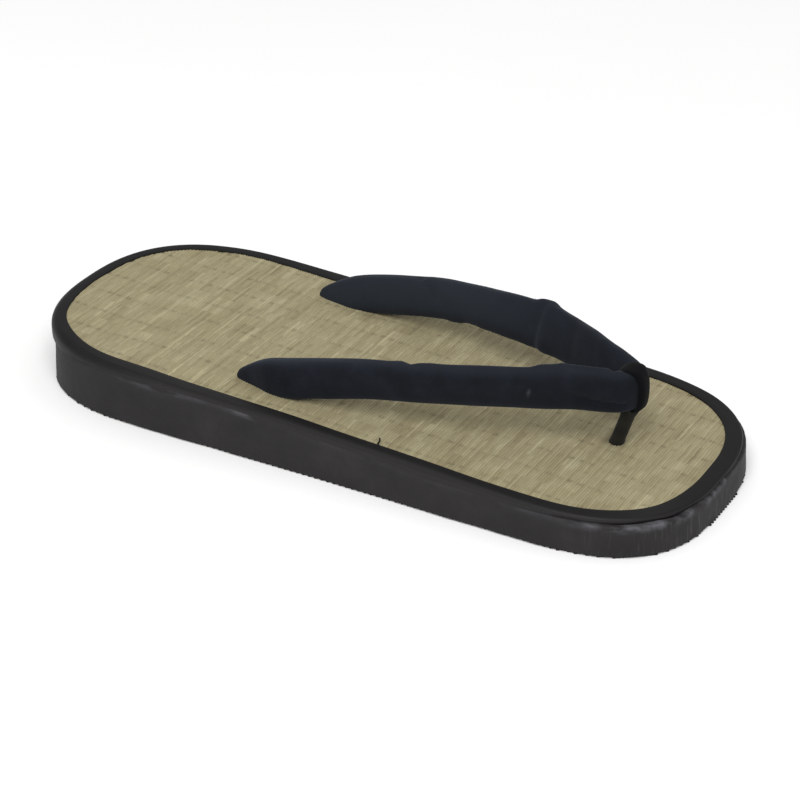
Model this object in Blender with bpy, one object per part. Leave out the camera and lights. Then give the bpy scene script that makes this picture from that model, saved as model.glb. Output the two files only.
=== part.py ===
# Zori sandal: a wedge of black foam, a rush footbed bound in black vinyl, and a stuffed V strap
# tied down between the toes by a loop and a leaning post.
# X runs along the sandal with the toe at +X, Y points to one side, Z is up. All sizes are metres.
# The origin is on the floor, midway between heel and toe.

import math

import bpy
import bmesh
from mathutils import Vector

# Driving sizes
CLEARANCE = 0.0003        # air between two pieces that lie against each other

FOOTBED_LENGTH = 0.2694   # over the binding
FOOTBED_WIDTH = 0.1128
ROUND_END = 0.060         # how far the round heel and toe reach in along X
HEEL_POWER = 2.5          # 2 gives an ellipse, a larger value a squarer end
TOE_POWER = 2.65
WAIST = 0.0007            # how much each side draws in at mid-length

HEEL_HEIGHT = 0.0242      # top of the binding above the floor
TOE_HEIGHT = 0.0130
CROWN = 0.0009            # rise of mid-length above the straight line from heel to toe

BINDING_DROP = 0.0070     # height of the binding's side band
BINDING_LAP_HEEL = 0.0063 # how far the binding laps onto the mat
BINDING_LAP_TOE = 0.0066
BINDING_WALL = 0.0011     # thickness of the vinyl
BINDING_SHOULDER = 0.0030 # radius of its outer shoulder
MAT_RECESS = 0.0005       # the mat lies this far below the binding's lip

SOLE_HEEL_IN = 0.0035     # the foam's heel stops this far inside the footbed's
SOLE_TOE_OUT = 0.0013     # its toe stands out this far
SOLE_SIDE_IN = 0.0004     # and its sides lie this far in
SOLE_HEEL_POWER = 2.73    # both of its ends are cut a little squarer
SOLE_TOE_POWER = 2.86
SOLE_EDGE = 0.0012        # radius of the foam's lower edge
SOLE_TOP_EDGE = 0.0010    # radius of its upper edge, under the binding

LEFT_TIP_FROM_HEEL = 0.0882   # from the footbed's heel to where the left arm enters the mat
RIGHT_TIP_FROM_HEEL = 0.0948  # and the right arm, a little further forward
NOSE_FROM_TOE = 0.0379    # from the footbed's toe back to the strap's centre at the nose
STRAP_EDGE_SPACE = 0.0186 # from the widest line of an arm out to the footbed's side
STRAP_RISE = 0.0229       # height of the nose's centre above the mat
STRAP_TALL = 0.0180       # greatest height of the stuffed band
STRAP_THICK = 0.0082      # its thickness through the stuffing
STRAP_POWER = 2.8         # squareness of its section

LOOP_WALL = 0.0026        # thickness of the toe loop's folded cloth in front of the nose
LOOP_THIN = 0.0011        # and where it is drawn tight over, under and behind it
LOOP_FRONT_WIDTH = 0.0088 # its width in front of the nose
LOOP_REAR_WIDTH = 0.0038  # its width where it is squeezed into the fork of the V

POST_FROM_TOE = 0.0430    # from the footbed's toe back to where the post leaves the mat
POST_SET_BACK = 0.0010    # the post's top stands this far behind the nose's centre
POST_DEPTH = 0.0036       # how deep it goes into the footbed
POST_DIAMETER = 0.0054
POST_FOOT = 0.0062        # diameter of its foot in the mat
POST_FLARE = 0.0020       # height over which the foot narrows

# Fineness of the meshes
END_STEPS = 15
SIDE_STEPS = 8
ROUND_STEPS = 4
SECTION_POINTS = 20
ARM_SUBSTEPS = 3
SLOT_ROWS = 6             # the arm is clear of the mat from this row of its table on
LOOP_STEPS = 28
LOOP_SIDES = 8
POST_POINTS = 20
SOFT_ANGLE = 60           # degrees between faces, up to which cloth is shaded smooth

# One row for each section of a strap arm, from the tip in the mat to the nose.
# along: share of the way from tip to nose. spread: share of the arm's widest distance from
# the middle. rise: share of the nose's height above the mat. tall and thick: shares of the
# band's size. lean: degrees that the band's upper edge leans outwards.
ARM_ROWS = [
    # along, spread, rise, tall, thick, lean
    (0.000, 0.958, 0.020, 0.450, 0.20, 0),
    (0.013, 0.958, 0.052, 0.533, 0.34, 2),
    (0.034, 0.960, 0.096, 0.622, 0.56, 4),
    (0.061, 0.970, 0.158, 0.722, 0.83, 4),
    (0.095, 0.995, 0.200, 0.840, 1.00, 2),
    (0.151, 0.997, 0.314, 0.845, 1.00, 1),
    (0.238, 0.972, 0.460, 0.850, 1.00, 3),
    (0.370, 0.930, 0.664, 0.850, 1.00, 7),
    (0.516, 0.831, 0.800, 0.880, 1.00, 14),
    (0.663, 0.689, 0.921, 0.975, 1.00, 21),
    (0.765, 0.535, 0.976, 0.955, 1.00, 16),
    (0.860, 0.335, 0.996, 0.950, 0.98, 11),
    (0.932, 0.219, 1.000, 0.915, 0.94, 8),
    (0.977, 0.133, 1.000, 0.866, 0.91, 5),
    (0.994, 0.071, 1.000, 0.829, 0.90, 2),
    (1.000, 0.000, 1.000, 0.820, 0.90, 0),
]

# One row for each ring of the post's foot, from below the mat to the end of the flare.
# height: share of the flare's height. foot: share of the foot's radius, the rest is the post's.
FLARE_ROWS = [
    # height, foot
    (0.25, 1.0),
    (0.60, 0.5),
    (1.00, 0.0),
]

# Worked out from the driving sizes
HALF_WIDTH = FOOTBED_WIDTH / 2
FOOTBED_X = -SOLE_TOE_OUT / 2    # puts the origin midway between the two ends of the whole
FOOTBED_HEEL = FOOTBED_X - FOOTBED_LENGTH / 2
FOOTBED_TOE = FOOTBED_X + FOOTBED_LENGTH / 2
TIP_X = {"left": FOOTBED_HEEL + LEFT_TIP_FROM_HEEL, "right": FOOTBED_HEEL + RIGHT_TIP_FROM_HEEL}
NOSE_X = FOOTBED_TOE - NOSE_FROM_TOE
STRAP_SPREAD = HALF_WIDTH - STRAP_EDGE_SPACE
POST_X = FOOTBED_TOE - POST_FROM_TOE


def clear_scene():
    """Start from an empty scene."""
    for thing in list(bpy.data.objects):
        bpy.data.objects.remove(thing, do_unlink=True)


def material(name, colour, roughness, sheen=0.0):
    """A Principled material in plain colour."""
    made = bpy.data.materials.new(name)
    made.use_nodes = True
    shader = made.node_tree.nodes["Principled BSDF"]
    shader.inputs["Base Color"].default_value = (*colour, 1.0)
    shader.inputs["Roughness"].default_value = roughness
    shader.inputs["Metallic"].default_value = 0.0
    shader.inputs["Sheen Weight"].default_value = sheen
    return made


def build_object(name, points, faces, finish, smooth_degrees=40):
    """Make one closed solid from points and faces, with its faces pointing out."""
    mesh = bpy.data.meshes.new(name)
    mesh.from_pydata([tuple(p) for p in points], [], faces)
    work = bmesh.new()
    work.from_mesh(mesh)
    bmesh.ops.recalc_face_normals(work, faces=work.faces)
    work.to_mesh(mesh)
    work.free()
    mesh.shade_smooth()
    mesh.set_sharp_from_angle(angle=math.radians(smooth_degrees))
    mesh.materials.append(finish)
    made = bpy.data.objects.new(name, mesh)
    bpy.context.scene.collection.objects.link(made)
    return made


def cut(target, cutter):
    """Cut one solid from another and hide the cutter."""
    cutter.hide_render = True
    cutter.display_type = "WIRE"
    modifier = target.modifiers.new("cut " + cutter.name, "BOOLEAN")
    modifier.operation = "DIFFERENCE"
    modifier.solver = "EXACT"
    modifier.object = cutter


# Outline and heights of the footbed

def rim_height(x):
    """Height of the binding's top at x."""
    share = (x - FOOTBED_X) / FOOTBED_LENGTH
    straight = (HEEL_HEIGHT + TOE_HEIGHT) / 2 + (TOE_HEIGHT - HEEL_HEIGHT) * share
    return straight + CROWN * (1 - (2 * share) ** 2)


def mat_height(x):
    """Height of the mat's surface."""
    return rim_height(x) - MAT_RECESS


def round_end(half_width, power):
    """(distance in from the tip, half width) round one end, from the tip to the side."""
    pairs = []
    for step in range(END_STEPS + 1):
        angle = math.pi / 2 * step / END_STEPS
        reach = math.cos(angle) ** (2 / power) if step < END_STEPS else 0.0
        pairs.append((ROUND_END * (1 - reach), half_width * math.sin(angle) ** (2 / power)))
    return pairs


def closed_outline(heel_x, toe_x, half_width, heel_power, toe_power):
    """Outline with two round ends, counter-clockwise from the toe's tip."""
    left = [(toe_x - back, y) for back, y in round_end(half_width, toe_power)]
    straight = toe_x - heel_x - 2 * ROUND_END
    for step in range(1, SIDE_STEPS):
        share = step / SIDE_STEPS
        draw_in = WAIST * math.sin(math.pi * share) ** 2
        left.append((toe_x - ROUND_END - straight * share, half_width - draw_in))
    left += [(heel_x + ahead, y) for ahead, y in reversed(round_end(half_width, heel_power))]
    right = [(x, -y) for x, y in reversed(left[1:-1])]
    return [Vector(pair) for pair in left + right]


def footbed_outline():
    """Outline of the footbed over the binding."""
    return closed_outline(FOOTBED_HEEL, FOOTBED_TOE, HALF_WIDTH, HEEL_POWER, TOE_POWER)


def sole_outline():
    """Outline of the foam."""
    return closed_outline(FOOTBED_HEEL + SOLE_HEEL_IN, FOOTBED_TOE + SOLE_TOE_OUT,
                          HALF_WIDTH - SOLE_SIDE_IN, SOLE_HEEL_POWER, SOLE_TOE_POWER)


def inset_outline(outline, distance, lap_share=0.0):
    """The outline moved inwards along its normals by a distance and a share of the lap."""
    count = len(outline)
    moved = []
    for index, point in enumerate(outline):
        run = outline[(index + 1) % count] - outline[index - 1]
        inward = Vector((-run.y, run.x)).normalized()
        reach = distance + lap_share * binding_lap(point.x)
        moved.append(point + inward * reach)
    return moved


def binding_lap(x):
    """How far the binding laps onto the mat, a little more at the toe than at the heel."""
    share = 0.5 + (x - FOOTBED_X) / FOOTBED_LENGTH
    return BINDING_LAP_HEEL + (BINDING_LAP_TOE - BINDING_LAP_HEEL) * share


def ring_at(outline, height):
    """Lift an outline to a height, given as a function of x."""
    return [Vector((p.x, p.y, height(p.x))) for p in outline]


def band_faces(count, first, second):
    """Quads between two rings of equal count that start at the given point numbers."""
    faces = []
    for index in range(count):
        after = (index + 1) % count
        faces.append((first + index, first + after, second + after, second + index))
    return faces


def cap_faces(count, first):
    """Strips across an outline ring, from the toe's tip to the heel's tip."""
    half = count // 2
    faces = [(first, first + 1, first + count - 1)]
    for index in range(1, half - 1):
        mirrored = count - index
        faces.append((first + index, first + index + 1, first + mirrored - 1, first + mirrored))
    faces.append((first + half - 1, first + half, first + half + 1))
    return faces


def stacked_solid(name, rings, finish):
    """A solid from rings stacked bottom to top and closed with strips."""
    count = len(rings[0])
    points = [point for ring in rings for point in ring]
    faces = cap_faces(count, 0)
    for level in range(len(rings) - 1):
        faces += band_faces(count, level * count, (level + 1) * count)
    faces += cap_faces(count, (len(rings) - 1) * count)
    return build_object(name, points, faces, finish)


def quarter_round(radius):
    """(inset, fall) pairs down a rounded edge, from its inner end to its outer end."""
    pairs = []
    for step in range(ROUND_STEPS + 1):
        angle = math.pi / 2 * step / ROUND_STEPS
        pairs.append((radius * (1 - math.sin(angle)), radius * (1 - math.cos(angle))))
    return pairs


def make_outsole(finish):
    """Foam wedge with a flat underside and rounded edges."""
    outline = sole_outline()

    def foam_top(x):
        return rim_height(x) - BINDING_DROP - CLEARANCE

    rings = []
    for inset, rise in quarter_round(SOLE_EDGE):
        edge = inset_outline(outline, inset)
        rings.append(ring_at(edge, lambda x, rise=rise: rise))
    for inset, fall in reversed(quarter_round(SOLE_TOP_EDGE)):
        edge = inset_outline(outline, inset)
        rings.append(ring_at(edge, lambda x, fall=fall: foam_top(x) - fall))
    return stacked_solid("outsole", rings, finish)


def make_insole(finish):
    """Footbed slab, lowered round its border where the binding laps over it."""
    outline = footbed_outline()
    border = BINDING_WALL + CLEARANCE
    corner = BINDING_SHOULDER - border
    profile = [(0.0, border, BINDING_DROP)]
    for inset, fall in reversed(quarter_round(corner)):
        profile.append((0.0, border + inset, border + fall))
    profile.append((1.0, CLEARANCE, border))
    profile.append((1.0, CLEARANCE, MAT_RECESS))
    rings = []
    for lap_share, inset, drop in profile:
        edge = inset_outline(outline, inset, lap_share=lap_share)
        rings.append(ring_at(edge, lambda x, drop=drop: rim_height(x) - drop))
    return stacked_solid("insole", rings, finish)


def make_binding(finish):
    """Vinyl strip: side band, rounded shoulder and a lip that laps onto the mat."""
    outline = footbed_outline()
    lip_radius = BINDING_WALL / 2
    inner_corner = BINDING_SHOULDER - BINDING_WALL
    profile = [(0.0, 0.0, BINDING_DROP)]
    for inset, fall in reversed(quarter_round(BINDING_SHOULDER)):
        profile.append((0.0, inset, fall))
    for step in range(ROUND_STEPS * 2 + 1):
        angle = math.pi * step / (ROUND_STEPS * 2)
        back = lip_radius * (math.sin(angle) - 1)
        profile.append((1.0, back, lip_radius * (1 - math.cos(angle))))
    for inset, fall in quarter_round(inner_corner):
        profile.append((0.0, BINDING_WALL + inset, BINDING_WALL + fall))
    profile.append((0.0, BINDING_WALL, BINDING_DROP))
    count = len(outline)
    points = []
    for lap_share, inset, drop in profile:
        edge = inset_outline(outline, inset, lap_share=lap_share)
        points += ring_at(edge, lambda x, drop=drop: rim_height(x) - drop)
    faces = []
    for level in range(len(profile)):
        after = (level + 1) % len(profile)
        faces += band_faces(count, level * count, after * count)
    return build_object("edge_binding", points, faces, finish)


# Strap

def smooth_between(before, start, end, after, share):
    """Catmull-Rom value between start and end."""
    cubic = -before + 3 * start - 3 * end + after
    square = 2 * before - 5 * start + 4 * end - after
    line = end - before
    return start + 0.5 * (line * share + square * share ** 2 + cubic * share ** 3)


def arm_row(row, tip_x):
    """Turn one table row of shares into real sizes: x, y, z, tall, thick, lean."""
    along, spread, rise, tall, thick, lean = row
    x = tip_x + (NOSE_X - tip_x) * along
    z = mat_height(x) + STRAP_RISE * rise
    return (x, STRAP_SPREAD * spread, z, STRAP_TALL * tall, STRAP_THICK * thick, lean)


def arm_samples(tip_x):
    """Centre, height, thickness and lean along one arm, from its tip in the mat to the nose."""
    rows = [arm_row(row, tip_x) for row in ARM_ROWS]
    past_nose = list(rows[-2])
    past_nose[1] = -past_nose[1]
    padded = [rows[0]] + rows + [tuple(past_nose)]
    samples = []
    for index in range(1, len(padded) - 2):
        near = padded[index - 1:index + 3]
        for step in range(ARM_SUBSTEPS):
            share = step / ARM_SUBSTEPS
            samples.append([smooth_between(*(row[c] for row in near), share) for c in range(6)])
    samples.append(list(rows[-1]))
    return samples


def mirrored(ring):
    """The same section on the other side of the sandal."""
    return [Vector((p.x, -p.y, p.z)) for p in ring]


def arm_sections(side_name, extra=0.0, end_extra=0.0):
    """Closed sections of one arm, grown by extra all round and by end_extra past its tip."""
    samples = arm_samples(TIP_X[side_name])
    centres = [Vector(sample[:3]) for sample in samples]
    sections = []
    for index, sample in enumerate(samples):
        ahead = centres[min(index + 1, len(centres) - 1)]
        behind = centres[max(index - 1, 0)]
        along = (ahead - behind).normalized()
        if index == len(samples) - 1:
            along = Vector((0.0, -1.0, 0.0))
        upward = (Vector((0, 0, 1)) - along * along.z).normalized()
        outward = along.cross(upward).normalized()
        if outward.y < 0 or index == len(samples) - 1:
            outward = -outward
        if index == len(samples) - 1:
            outward = Vector((1.0, 0.0, 0.0))
        lean = math.radians(sample[5])
        upper = upward * math.cos(lean) + outward * math.sin(lean)
        side = outward * math.cos(lean) - upward * math.sin(lean)
        centre = centres[index]
        if index == 0:
            centre = centre - along * end_extra
        half_tall = sample[3] / 2 + extra
        half_thick = sample[4] / 2 + extra
        ring = []
        for step in range(SECTION_POINTS):
            angle = 2 * math.pi * step / SECTION_POINTS
            lift = math.copysign(abs(math.cos(angle)) ** (2 / STRAP_POWER), math.cos(angle))
            out = math.copysign(abs(math.sin(angle)) ** (2 / STRAP_POWER), math.sin(angle))
            ring.append(centre + upper * half_tall * lift + side * half_thick * out)
        sections.append(mirrored(ring) if side_name == "right" else ring)
    return sections


def tube(name, sections, finish):
    """Closed solid through a row of sections."""
    count = len(sections[0])
    points = [point for ring in sections for point in ring]
    faces = [tuple(range(count))]
    for level in range(len(sections) - 1):
        faces += band_faces(count, level * count, (level + 1) * count)
    last = (len(sections) - 1) * count
    faces.append(tuple(range(last, last + count)))
    return build_object(name, points, faces, finish, SOFT_ANGLE)


def make_strap(finish):
    """Both arms as one stuffed band that turns round at the nose."""
    left = arm_sections("left")
    right = arm_sections("right")[:-1]
    return tube("strap", left + right[::-1], finish)


def strap_cutter(side, finish):
    """An arm grown by the clearance, to cut its slot in the footbed."""
    sections = arm_sections(side, CLEARANCE, CLEARANCE)[:ARM_SUBSTEPS * SLOT_ROWS + 1]
    return tube("slot_cutter_" + side, sections, finish)


# Toe loop and post

def nose_reach():
    """How far the nose of the strap reaches back, forward, up and down, at the loop."""
    sections = arm_sections("left")
    half_rear = LOOP_REAR_WIDTH / 2 + CLEARANCE
    near = [p for ring in sections for p in ring if p.y < half_rear]
    nose = sections[-1]
    return (min(p.x for p in near), max(p.x for p in nose),
            max(p.z for p in nose), min(p.z for p in nose))


def loop_run():
    """The loop's inner reach round the nose: backwards, forwards, half height, centre z."""
    rear, front, top, bottom = nose_reach()
    return (NOSE_X - rear + CLEARANCE, front - NOSE_X + CLEARANCE,
            (top - bottom) / 2 + CLEARANCE, (top + bottom) / 2)


def make_toe_loop(finish):
    """Cloth loop round the nose, wide in front and squeezed narrow in the fork."""
    rear, front, tall, centre_z = loop_run()
    power = 2 / STRAP_POWER
    scale = 1 / math.cos(math.pi / LOOP_SIDES)
    section = []
    for step in range(LOOP_SIDES):
        angle = 2 * math.pi * (step + 0.5) / LOOP_SIDES
        section.append((math.cos(angle), math.sin(angle)))
    points = []
    for step in range(LOOP_STEPS):
        angle = 2 * math.pi * step / LOOP_STEPS
        ahead = math.cos(angle)
        up = math.sin(angle)
        wall = LOOP_THIN + (LOOP_WALL - LOOP_THIN) * max(ahead, 0.0) ** 2
        reach = (front if ahead > 0 else rear) + wall / 2
        height = tall + wall / 2
        x = NOSE_X + math.copysign(abs(ahead) ** power, ahead) * reach
        z = centre_z + math.copysign(abs(up) ** power, up) * height
        outward = Vector((ahead / reach, 0.0, up / height)).normalized()
        width = LOOP_REAR_WIDTH + (LOOP_FRONT_WIDTH - LOOP_REAR_WIDTH) * (ahead + 1) / 2
        for across, through in section:
            offset = outward * through * scale * wall / 2
            points.append(Vector((x, across * scale * width / 2, z)) + offset)
    faces = []
    for step in range(LOOP_STEPS):
        after = (step + 1) % LOOP_STEPS
        faces += band_faces(LOOP_SIDES, step * LOOP_SIDES, after * LOOP_SIDES)
    return build_object("toe_loop", points, faces, finish, SOFT_ANGLE)


def post_sections(extra=0.0, end_extra=0.0):
    """Level rings of the leaning post, from its hidden foot to the loop."""
    mat = mat_height(POST_X)
    tall, centre_z = loop_run()[2:]
    top = centre_z - tall - LOOP_THIN - CLEARANCE
    lean = (NOSE_X - POST_SET_BACK - POST_X) / (top - mat)
    thin = POST_DIAMETER / 2
    foot = POST_FOOT / 2
    rows = [(mat - POST_DEPTH - end_extra, foot)]
    for height, share in FLARE_ROWS:
        rows.append((mat + POST_FLARE * height, thin + (foot - thin) * share))
    rows.append(((mat + POST_FLARE + top) / 2, thin))
    rows.append((top, thin))
    sections = []
    for z, radius in rows:
        x = POST_X + (z - mat) * lean
        ring = []
        for step in range(POST_POINTS):
            angle = 2 * math.pi * step / POST_POINTS
            reach = radius + extra
            ring.append(Vector((x + reach * math.cos(angle), reach * math.sin(angle), z)))
        sections.append(ring)
    return sections


def make_toe_post(finish):
    """Round post between the toes."""
    return tube("toe_post", post_sections(), finish)


def main():
    clear_scene()
    foam = material("foam", (0.032, 0.028, 0.030), 0.75)
    rush = material("rush", (0.33, 0.28, 0.16), 0.8)
    vinyl = material("vinyl", (0.030, 0.030, 0.031), 0.45)
    velvet = material("velvet", (0.011, 0.014, 0.021), 0.95, sheen=0.4)
    cord = material("cord", (0.016, 0.016, 0.011), 0.7)

    make_outsole(foam)
    insole = make_insole(rush)
    make_binding(vinyl)
    make_strap(velvet)
    make_toe_loop(velvet)
    make_toe_post(cord)

    for side in ("left", "right"):
        cut(insole, strap_cutter(side, rush))
    cut(insole, tube("post_cutter", post_sections(CLEARANCE, CLEARANCE)[:len(FLARE_ROWS) + 1], rush))


main()
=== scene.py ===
# %% [markdown]
# A zori sandal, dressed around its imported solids.
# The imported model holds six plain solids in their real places: foam sole, footbed, vinyl binding,
# strap, toe loop and toe post. Here each gets a finer mesh of the same thing and a material that
# is built from nodes. All places are in metres in the model's own frame, toe at +X, floor at z 0.

# %% Load the frame
import math

import bmesh
import bpy
import numpy as np
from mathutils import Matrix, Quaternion, Vector


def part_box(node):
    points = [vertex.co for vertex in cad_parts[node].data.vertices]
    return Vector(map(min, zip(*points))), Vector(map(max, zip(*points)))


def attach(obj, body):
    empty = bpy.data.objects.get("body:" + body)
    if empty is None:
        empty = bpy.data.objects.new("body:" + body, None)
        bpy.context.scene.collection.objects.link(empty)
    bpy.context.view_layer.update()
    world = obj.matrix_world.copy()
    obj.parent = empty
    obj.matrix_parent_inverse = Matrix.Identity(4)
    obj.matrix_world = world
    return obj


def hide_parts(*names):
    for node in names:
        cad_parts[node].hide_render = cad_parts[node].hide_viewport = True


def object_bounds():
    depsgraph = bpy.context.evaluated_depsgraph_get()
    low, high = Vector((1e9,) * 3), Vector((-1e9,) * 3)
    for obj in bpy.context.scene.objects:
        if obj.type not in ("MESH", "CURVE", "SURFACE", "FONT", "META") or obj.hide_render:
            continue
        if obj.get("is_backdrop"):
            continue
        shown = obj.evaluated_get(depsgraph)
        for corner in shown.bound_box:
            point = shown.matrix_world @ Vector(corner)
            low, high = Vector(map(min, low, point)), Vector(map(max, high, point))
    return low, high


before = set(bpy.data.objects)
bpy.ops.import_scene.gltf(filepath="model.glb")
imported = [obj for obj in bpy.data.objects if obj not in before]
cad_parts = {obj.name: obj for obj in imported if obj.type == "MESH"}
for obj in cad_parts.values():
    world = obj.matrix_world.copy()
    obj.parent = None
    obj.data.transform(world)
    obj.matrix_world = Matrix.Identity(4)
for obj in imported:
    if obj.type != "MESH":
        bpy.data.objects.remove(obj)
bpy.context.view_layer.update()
MM = 0.001

# %% [markdown]
# The camera stands where the photographer stood, seen from the sandal: a little to the toe side
# of straight across, looking down by 29 degrees, and turned a little about its own axis. It could
# be placed by eye, but its angles were worked out from the sandal's outline, so they are kept as
# numbers. Only the lens is longer, so that one sandal fills the frame.

# %% Camera
CAMERA_AZIMUTH = 27.60
CAMERA_ELEVATION = 28.88
CAMERA_ROLL = 1.39
CAMERA_DISTANCE = 943.8 * MM
CAMERA_LENS = 115.4
AIM = Vector((6.7, -4.8, 10.0)) * MM

azimuth = math.radians(CAMERA_AZIMUTH)
elevation = math.radians(CAMERA_ELEVATION)
back = Vector((math.sin(azimuth) * math.cos(elevation),
               -math.cos(azimuth) * math.cos(elevation), math.sin(elevation)))
camera = bpy.data.objects.new("photo_camera", bpy.data.cameras.new("photo_camera"))
bpy.context.scene.collection.objects.link(camera)
camera.rotation_mode = "QUATERNION"
camera.location = AIM + back * CAMERA_DISTANCE
roll = Quaternion((0, 0, 1), math.radians(CAMERA_ROLL))
camera.rotation_quaternion = (-back).to_track_quat("-Z", "Y") @ roll
camera.data.lens = CAMERA_LENS
camera.data.dof.use_dof = False
bpy.context.scene.camera = camera
print("Camera stands at, mm:", [round(x / MM, 1) for x in camera.location])

# %% [markdown]
# Materials are made of nodes. Two helpers are enough for all of them: one turns the hex colours
# that a paint chart or a colour picker gives into the linear numbers that Blender works with, and
# one adds a node, sets it and links it. A number given for an input is set on it, and an output
# given for an input is linked to it.

# %% Helpers for materials
def linear(hex_colour):
    """Linear red, green, blue and alpha of an sRGB hex colour."""
    shares = [int(hex_colour[i:i + 2], 16) / 255 for i in (1, 3, 5)]
    bent = [s / 12.92 if s <= 0.04045 else ((s + 0.055) / 1.055) ** 2.4 for s in shares]
    return (*bent, 1.0)


def new_material(name):
    """An empty material and its Principled shader."""
    made = bpy.data.materials.new(name)
    made.use_nodes = True
    return made, made.node_tree.nodes["Principled BSDF"]


def add(material, kind, settings, inputs):
    """Add a node of that kind, with its own settings, and set or link its inputs."""
    node = material.node_tree.nodes.new("ShaderNode" + kind)
    for key, value in settings.items():
        if key == "stops":
            ramp = node.color_ramp.elements
            while len(ramp) < len(value):
                ramp.new(0.5)
            for stop, (place, colour) in zip(ramp, value):
                stop.position = place
                stop.color = colour
        else:
            setattr(node, key, value)
    feed(material, node, inputs)
    return node


def feed(material, node, inputs):
    """Set a node's inputs to numbers, or link them to other nodes' outputs."""
    for key, value in inputs.items():
        if isinstance(value, bpy.types.NodeSocket):
            material.node_tree.links.new(value, node.inputs[key])
        else:
            node.inputs[key].default_value = value


def per_mm(size):
    """Texture scale for a pattern whose grain is that many millimetres."""
    return 1 / (size * MM)


MIX_A, MIX_B, MIX_OUT = 6, 7, 2    # the colour sockets of a Mix node
MIX = {"data_type": "RGBA"}

# %% [markdown]
# Studio light. Shadows under the strap are soft and lie behind it, and the sides of the sole are
# as light as the top of the binding, so the light is a wide lamp high up in front in a white
# room. A pale world stands for the room. Several small lamps would give several shadow edges.

# %% Floor, world and lamps
FLOOR_SIZE = 6.0
WORLD_STRENGTH = 0.61
LAMPS = [
    # name, place in metres, size in metres, watts
    ("front_key", (0.58, -1.40, 1.89), 1.70, 45.0),
]

floor_mesh = bpy.data.meshes.new("studio_floor")
half = FLOOR_SIZE / 2
floor_mesh.from_pydata([(-half, -half, 0), (half, -half, 0), (half, half, 0), (-half, half, 0)],
                       [], [(0, 1, 2, 3)])
floor = bpy.data.objects.new("studio_floor", floor_mesh)
bpy.context.scene.collection.objects.link(floor)
paper, paper_shader = new_material("white_background_paper")
paper_grain = add(paper, "TexNoise", {}, {"Scale": per_mm(40), "Detail": 2.0})
paper_tint = add(paper, "Mix", MIX, {"Factor": paper_grain.outputs["Fac"],
                                     MIX_A: linear("#FBFBFA"), MIX_B: linear("#FFFFFF")})
feed(paper, paper_shader, {"Base Color": paper_tint.outputs[MIX_OUT], "Roughness": 0.9})
floor_mesh.materials.append(paper)
floor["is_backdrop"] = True

world = bpy.data.worlds.new("white_tent")
world.use_nodes = True
world.node_tree.nodes["Background"].inputs["Color"].default_value = linear("#FFFFFF")
world.node_tree.nodes["Background"].inputs["Strength"].default_value = WORLD_STRENGTH
bpy.context.scene.world = world
bpy.context.scene.view_settings.view_transform = "Standard"

for name, place, size, watts in LAMPS:
    lamp_data = bpy.data.lights.new(name, "AREA")
    lamp_data.energy = watts
    lamp_data.size = size
    lamp = bpy.data.objects.new(name, lamp_data)
    bpy.context.scene.collection.objects.link(lamp)
    lamp.location = place
    lamp.rotation_mode = "QUATERNION"
    lamp.rotation_quaternion = (AIM - Vector(place)).to_track_quat("-Z", "Y")
print("Lamps:", len(LAMPS))

# %% [markdown]
# Every layer of the footbed follows one outline and one slope, so those come first. The outline
# is two straight sides with a slight waist and a squarish half-ellipse at each end. A spline could
# be drawn by hand instead, but with powers and lengths each layer can be inset exactly. On the
# real sandal the binding's side band is tall only at the heel and thins out towards the toe, so
# the line where it is glued to the foam is a table of heights.

# %% Sizes and outline of the footbed
FOOTBED_LENGTH = 269.4 * MM
ROUND_END = 60 * MM
WAIST = 0.7 * MM
HEEL_HEIGHT = 24.2 * MM
TOE_HEIGHT = 13.0 * MM
CROWN = 0.9 * MM
FOOTBED_X = -0.65 * MM
FOOTBED_HEEL = FOOTBED_X - FOOTBED_LENGTH / 2
FOOTBED_TOE = FOOTBED_X + FOOTBED_LENGTH / 2
BINDING_DROP = 7.0 * MM
FINE_STEPS = 400
RING_POINTS = 560           # points round the binding and round the foam
# An outline: x of the heel's and the toe's tip, half width, power of the heel's and toe's curve.
FOOTBED = (FOOTBED_HEEL + 0.3 * MM, FOOTBED_TOE - 1.6 * MM, 56.2 * MM, 2.5, 2.65)
FOAM = (FOOTBED_HEEL + 3.6 * MM, FOOTBED_TOE - 0.6 * MM, 55.9 * MM, 2.73, 2.86)
GLUE_WAVER = 0.18 * MM      # unevenness of that line
GLUE_DROPS = [
    # x, height of the side band there, mm
    (-135, 6.8), (-120, 6.2), (-105, 5.2), (-88, 3.9), (-72, 2.9), (-55, 2.2), (-42, 1.9),
    (-30, 2.3), (-15, 3.1), (5, 3.3), (25, 3.7), (42, 4.1), (60, 3.7), (85, 2.7), (108, 2.0),
    (120, 1.8), (135, 1.6),
]


def rim_height(x):
    """Height of the binding's top above the floor."""
    share = (x - FOOTBED_X) / FOOTBED_LENGTH
    return ((HEEL_HEIGHT + TOE_HEIGHT) / 2 + (TOE_HEIGHT - HEEL_HEIGHT) * share
            + CROWN * (1 - (2 * share) ** 2))


def side_line(heel_x, toe_x, half_width, heel_power, toe_power):
    """x and half width of an outline, from the toe's tip along one side to the heel's tip."""
    turn = np.linspace(0, math.pi / 2, FINE_STEPS)
    toe = toe_x - ROUND_END * (1 - np.abs(np.cos(turn)) ** (2 / toe_power))
    heel = heel_x + ROUND_END * (1 - np.abs(np.cos(turn)) ** (2 / heel_power))
    share = np.linspace(0, 1, FINE_STEPS)[1:-1]
    side = (toe_x - ROUND_END) + (heel_x - toe_x + 2 * ROUND_END) * share
    xs = np.concatenate([toe, side, heel[::-1]])
    ys = np.concatenate([half_width * np.sin(turn) ** (2 / toe_power),
                         half_width - WAIST * np.sin(math.pi * share) ** 2,
                         half_width * np.sin(turn[::-1]) ** (2 / heel_power)])
    return xs, ys


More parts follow.
